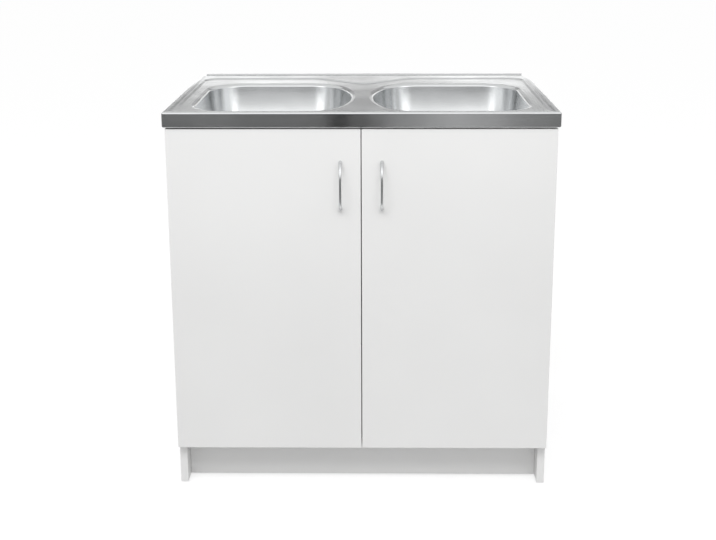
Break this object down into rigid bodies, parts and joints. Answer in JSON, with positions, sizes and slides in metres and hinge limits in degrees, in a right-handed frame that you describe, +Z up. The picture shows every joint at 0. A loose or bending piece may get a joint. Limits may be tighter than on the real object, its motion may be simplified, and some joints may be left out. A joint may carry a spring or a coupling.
{
  "type": "kitchen sink unit",
  "caption": "Low kitchen cabinet with hinged doors and bow handles under a lay-on steel sink with side-by-side bowls, strainers and a bottle trap.",
  "frame": {"origin": "on the floor under the middle of the overall box", "axes": "+Z up, the doors face -Y, +X to the right when facing them"},
  "size_m": [0.8, 0.623, 0.82],
  "materials": {
    "white_board": "matte white melamine facing on chipboard",
    "hardboard": "thin hardboard, white-faced inside and brown behind",
    "grey_plastic": "moulded",
    "satin_metal": "satin",
    "plated_steel": "bright plated",
    "sink_steel": "finely brushed",
    "strainer_steel": "polished",
    "rubber": "matte",
    "white_plastic": "semi-matt moulded"
  },
  "bodies": {
    "cabinet": {"side_panel_left": "white_board", "side_panel_right": "white_board", "bottom_panel": "white_board", "kickboard": "white_board", "front_top_rail": "white_board", "back_top_rail": "white_board", "back_panel": "hardboard", "glide_front_left": "grey_plastic", "glide_back_left": "grey_plastic", "glide_front_right": "grey_plastic", "glide_back_right": "grey_plastic", "hinge_arm_left_lower": "plated_steel", "hinge_plate_left_lower": "plated_steel", "hinge_pin_left_lower": "plated_steel", "hinge_arm_left_upper": "plated_steel", "hinge_plate_left_upper": "plated_steel", "hinge_pin_left_upper": "plated_steel", "hinge_arm_right_lower": "plated_steel", "hinge_plate_right_lower": "plated_steel", "hinge_pin_right_lower": "plated_steel", "hinge_arm_right_upper": "plated_steel", "hinge_plate_right_upper": "plated_steel", "hinge_pin_right_upper": "plated_steel", "sink_deck": "sink_steel", "bowl_left": "sink_steel", "bowl_right": "sink_steel", "strainer_body_left": "strainer_steel", "strainer_body_right": "strainer_steel", "strainer_washer_left": "rubber", "strainer_washer_right": "rubber", "strainer_nut_left": "white_plastic", "strainer_nut_right": "white_plastic", "coupling_nut_left": "white_plastic", "coupling_nut_right": "white_plastic", "waste_elbow_left": "white_plastic", "waste_elbow_right": "white_plastic", "tee_nut_left": "white_plastic", "tee_nut_right": "white_plastic", "waste_tee": "white_plastic", "trap_bottle": "white_plastic", "trap_dip_tube": "white_plastic", "trap_ring_nut": "white_plastic", "outlet_nut": "white_plastic", "outlet_pipe": "white_plastic"},
    "left_door": {"door_left": "white_board", "handle_left": "satin_metal", "handle_screw_left_lower": "plated_steel", "handle_screw_left_upper": "plated_steel", "door_bumper_left": "grey_plastic", "hinge_cup_left_lower": "plated_steel", "hinge_cup_left_upper": "plated_steel"},
    "right_door": {"door_right": "white_board", "handle_right": "satin_metal", "handle_screw_right_lower": "plated_steel", "handle_screw_right_upper": "plated_steel", "door_bumper_right": "grey_plastic", "hinge_cup_right_lower": "plated_steel", "hinge_cup_right_upper": "plated_steel"},
    "left_basket": {"strainer_basket_left": "strainer_steel"},
    "right_basket": {"strainer_basket_right": "strainer_steel"}
  },
  "joints": [
    {"name": "left_door_swing", "type": "hinge", "parent": "cabinet", "child": "left_door", "pos_m": [-0.38768, -0.276, 0.4385], "axis": [0, 0, -1], "range_deg": [0, 95]},
    {"name": "right_door_swing", "type": "hinge", "parent": "cabinet", "child": "right_door", "pos_m": [0.38768, -0.276, 0.4385], "axis": [0, 0, 1], "range_deg": [0, 95]},
    {"name": "left_basket_lift", "type": "slide", "parent": "cabinet", "child": "left_basket", "axis": [0, 0, 1], "range_m": [0, 0.012]},
    {"name": "right_basket_lift", "type": "slide", "parent": "cabinet", "child": "right_basket", "axis": [0, 0, 1], "range_m": [0, 0.012]}
  ]
}
